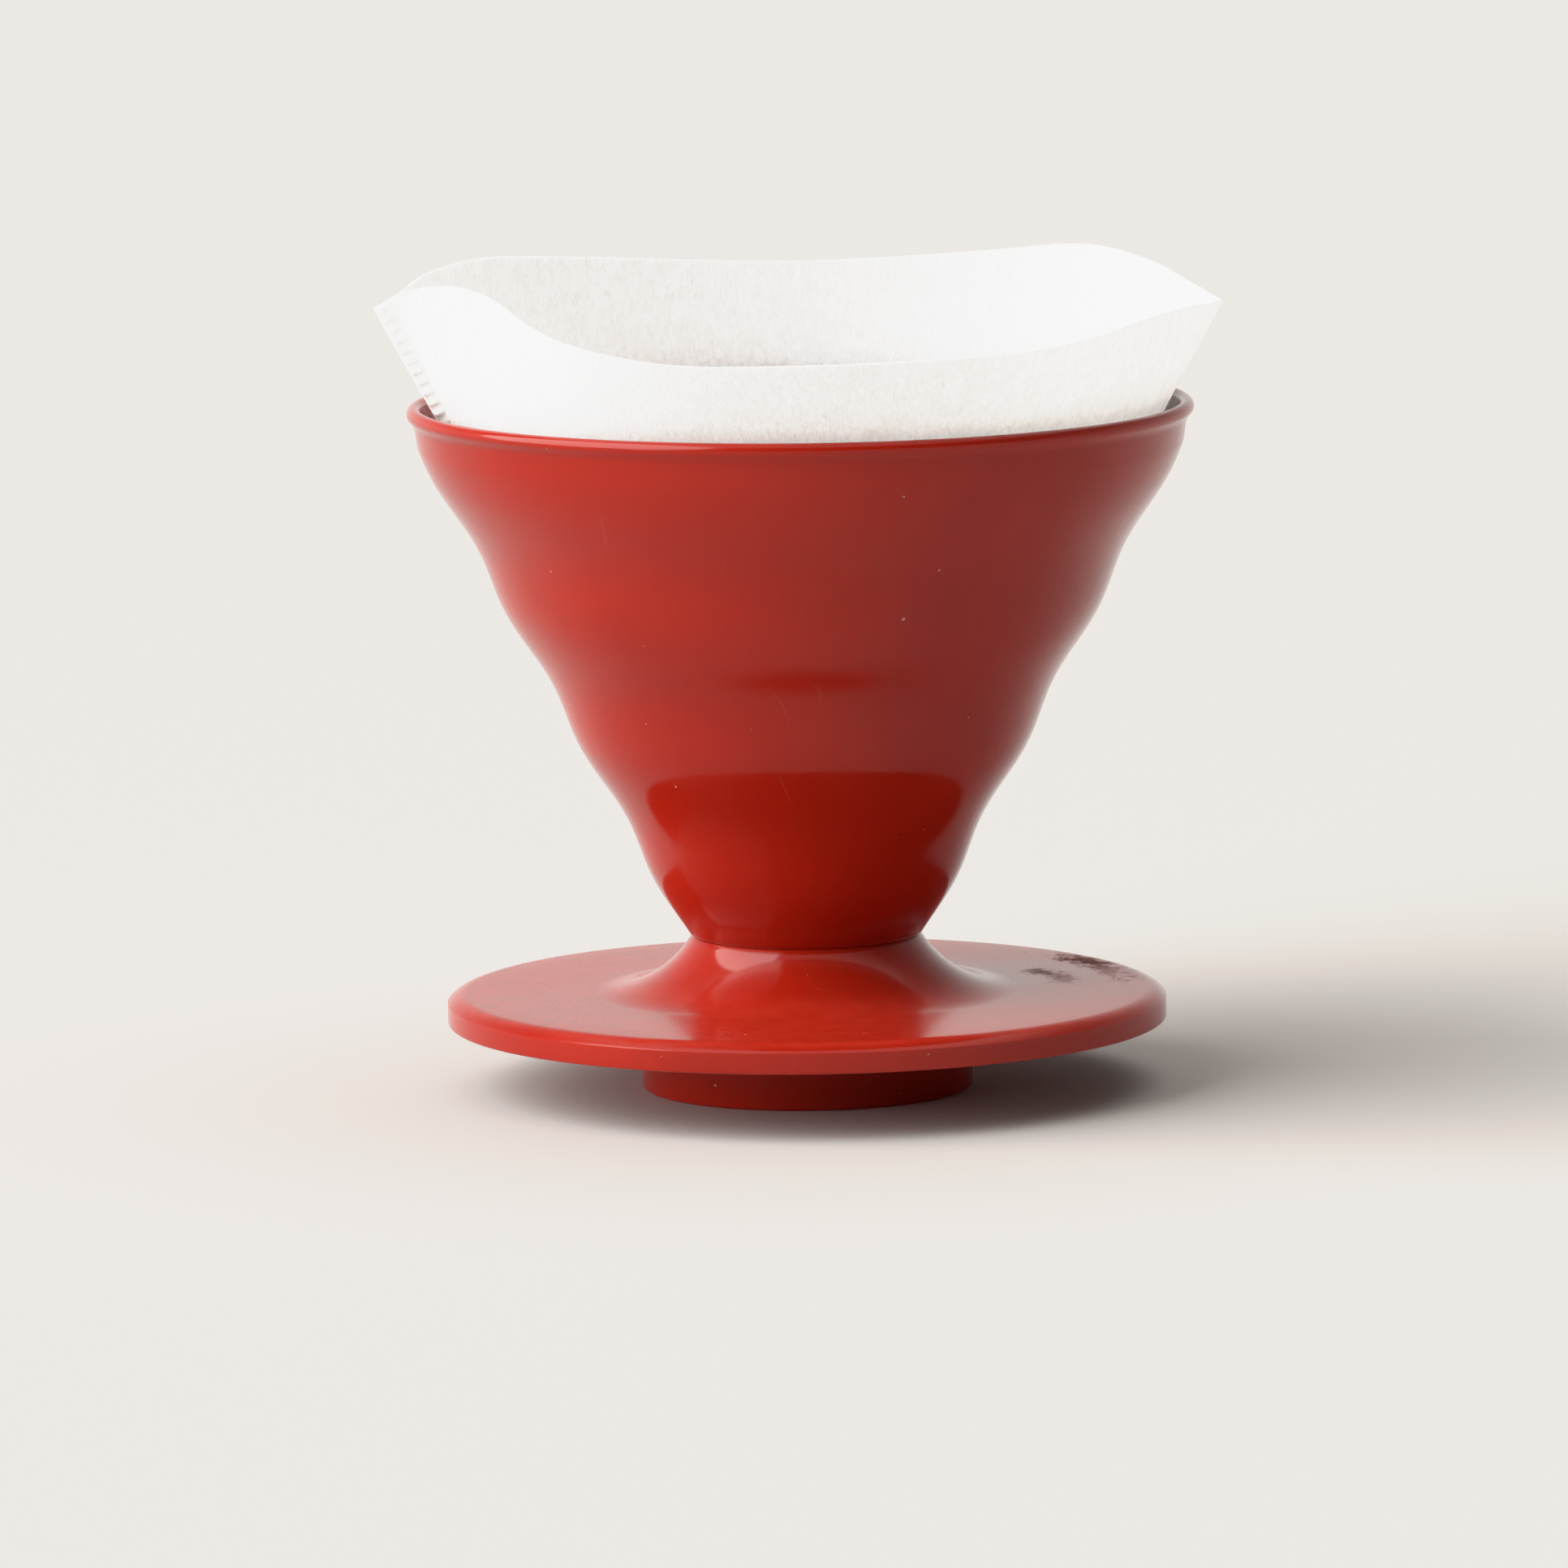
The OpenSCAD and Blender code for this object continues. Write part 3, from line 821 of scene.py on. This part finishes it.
def plastic(name, stains=()):
    """Red plastic. With stains, its plate's top also gets painted light, a patchy brighter red, and the dried
    drips.
    """
    material, shader = new_material(name)
    tree = material.node_tree
    where = add(tree, "ShaderNodeTexCoord").outputs["Object"]
    specks = place_group(tree, dust, {"Vector": where, "Spacing": 210.0, "Share": 0.16, "Size": 0.055})[0]
    fine_specks = place_group(tree, dust, {"Vector": where, "Spacing": 520.0, "Share": 0.06, "Size": 0.08})[0]
    specks = math(tree, "MAXIMUM", specks, fine_specks)
    hairs = place_group(tree, scratch, {"Vector": where, "Scale": 55.0, "Thin": 0.004})[0]
    cloud = place_group(tree, mottle, {"Vector": where, "Scale": 22.0})[0]
    colour = mix_colour(tree, cloud, RED_DEEP, RED_WARM)
    colour = mix_colour(tree, math(tree, "MULTIPLY", specks, 0.5), colour, (0.62, 0.42, 0.38, 1))
    colour = mix_colour(tree, math(tree, "MULTIPLY", hairs, 0.05), colour, (0.70, 0.20, 0.16, 1))
    rough = math(tree, "ADD", ramp(tree, cloud, 0.0, 1.0, 0.10, 0.15), math(tree, "MULTIPLY", hairs, 0.12))
    rough = math(tree, "ADD", rough, math(tree, "MULTIPLY", specks, 0.5))
    if stains:
        # painted light on the plate's upper face: a patchy brighter red, as if lit from above, and a little
        # rougher there
        height = add(tree, "ShaderNodeSeparateXYZ", {0: where}).outputs["Z"]
        on_top = math(tree, "MULTIPLY", ramp(tree, height, 0.0136, 0.0144), ramp(tree, height, 0.0175, 0.0148))
        patchy = ramp(tree, noise(tree, where, 260.0, 6.0, 0.7), 0.3, 0.7, 0.12, 0.32)
        painted_top_light = math(tree, "MULTIPLY", on_top, patchy)
        # painted light: the plate's top is mixed towards a brighter red
        colour = mix_colour(tree, painted_top_light, colour, (0.56, 0.045, 0.026, 1))
        rough = math(tree, "ADD", rough, math(tree, "MULTIPLY", painted_top_light, 0.12))
    for radius, width, middle, half_turn, strength in stains:
        brown = math(tree, "MULTIPLY", stain_mask(tree, where, radius, width, middle, half_turn), strength)
        colour = mix_colour(tree, brown, colour, (0.090, 0.022, 0.012, 1))
        rough = math(tree, "ADD", rough, math(tree, "MULTIPLY", brown, 0.45))
    ripple = noise(tree, where, 900.0, 2.0, 0.5)
    height = math(tree, "SUBTRACT", math(tree, "MULTIPLY", ripple, 0.10), math(tree, "MULTIPLY", hairs, 0.3))
    bump = add(tree, "ShaderNodeBump", {"Height": height, "Strength": 0.06, "Distance": 0.0004}).outputs[0]
    tree.links.new(colour, shader.inputs["Base Color"])
    tree.links.new(rough, shader.inputs["Roughness"])
    tree.links.new(bump, shader.inputs["Normal"])
    shader.inputs["IOR"].default_value = 1.46
    shader.inputs["Specular IOR Level"].default_value = 0.32
    shader.inputs["Subsurface Weight"].default_value = 0.35
    shader.inputs["Subsurface Radius"].default_value = (1.0, 0.12, 0.06)
    shader.inputs["Subsurface Scale"].default_value = 0.0025
    return material


red = plastic("red_plastic")
red_stained = plastic("red_plastic_stained", [  # radius, half width, middle angle, half angle, strength
    (0.0476, 0.0028, 21, 16, 0.50),
    (0.0480, 0.0026, 30, 8, 0.85),
    (0.0386, 0.0022, 13, 10, 0.45),
    (0.0372, 0.0022, 21, 4.5, 0.80),
])

# %% [markdown]
# ## Filter paper
# The paper is a loose felt of long fibres, bleached nearly white. Light goes
# through it, so the outside glows softly where the inside is lit. Fibres are
# made from noise that is stretched four ways, and they raise the surface a
# little as well as change its colour. The crimped strip is pressed thin and lets
# part of the light past, or it would throw a dark stripe through the paper.

# %% Paper
fibres, into, out = new_group("paper_fibres", [("Vector", VECTOR, None), ("Scale", FLOAT, 900.0)],
                              ["Height", "Cloud"])
felt = None
for tilt_x, tilt_y in ((0.2, 0.1), (1.3, 0.5), (0.6, 1.5), (1.1, 2.3)):
    turned = add(fibres, "ShaderNodeMapping", {"Vector": into["Vector"], "Scale": (1.0, 1.0, 0.16),
                                               "Rotation": (tilt_x, tilt_y, tilt_x * 2.1)}).outputs[0]
    strand = noise(fibres, turned, into["Scale"], 2.0, 0.55, 0.3)
    strand = ramp(fibres, math(fibres, "ABSOLUTE", math(fibres, "SUBTRACT", strand, 0.5)), 0.0, 0.09, 1.0, 0.0)
    felt = strand if felt is None else math(fibres, "ADD", felt, strand)
fibres.links.new(math(fibres, "MULTIPLY", felt, 0.25), out["Height"])
fibres.links.new(ramp(fibres, noise(fibres, into["Vector"], 330.0, 3.0, 0.6), 0.35, 0.65), out["Cloud"])


def paper_finish(name, glow_through, cover=1.0):
    """Filter paper. glow_through is how much of the light goes into it, and cover is how much it hides."""
    material, shader = new_material(name)
    tree = material.node_tree
    where = add(tree, "ShaderNodeTexCoord").outputs["Object"]
    felt, cloudy = place_group(tree, fibres, {"Vector": where, "Scale": 850.0})[:2]
    cloud_share = math(tree, "MULTIPLY", cloudy, 0.5)
    colour = mix_colour(tree, cloud_share, (0.87, 0.865, 0.86, 1), (0.74, 0.725, 0.71, 1))
    colour = mix_colour(tree, math(tree, "MULTIPLY", felt, 0.5), colour, (0.48, 0.45, 0.43, 1))
    height = math(tree, "ADD", math(tree, "MULTIPLY", felt, -0.6), math(tree, "MULTIPLY", cloudy, 0.4))
    bump = add(tree, "ShaderNodeBump", {"Height": height, "Strength": 0.8, "Distance": 0.00016}).outputs[0]
    tree.links.new(colour, shader.inputs["Base Color"])
    tree.links.new(math(tree, "ADD", 0.82, math(tree, "MULTIPLY", felt, 0.12)), shader.inputs["Roughness"])
    tree.links.new(bump, shader.inputs["Normal"])
    shader.inputs["Specular IOR Level"].default_value = 0.15
    shader.inputs["Alpha"].default_value = cover
    shader.inputs["Subsurface Weight"].default_value = glow_through
    shader.inputs["Subsurface Radius"].default_value = (1.0, 0.97, 0.92)
    shader.inputs["Subsurface Scale"].default_value = 0.0018
    return material


paper = paper_finish("filter_paper", 1.0)
paper_crimped = paper_finish("filter_paper_crimped", 0.0, cover=0.5)

# %% [markdown]
# ## A finish for each piece
# The cone, its ribs and its handle are one moulding and share one red. The
# base has the red with dried coffee and painted light on the plate's top, and
# the paper's crimped strip has a finish of its own.

# %% Give each piece its finish
for piece, finish in ((cone_wall, red), (cone_ribs, red), (handle, red), (base_turned, red_stained),
                      (filter_sheet, paper), (filter_seam, paper_crimped)):
    piece.data.materials.clear()
    piece.data.materials.append(finish)
print("finishes:", sorted(material.name for material in bpy.data.materials if material.users))

# %% [markdown]
# ## Bodies
# The red pieces belong to the dripper, and the paper rides on the filter's own
# body, which lifts straight out. The three CAD nodes are hidden, and the new
# pieces show in their place.

# %% Hand the pieces to their bodies
for piece in (cone_wall, cone_ribs, handle, base_turned):
    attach(piece, "dripper")
for piece in (filter_sheet, filter_seam):
    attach(piece, "filter")
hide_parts("cone_body")
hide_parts("base_plate")
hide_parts("paper_filter")
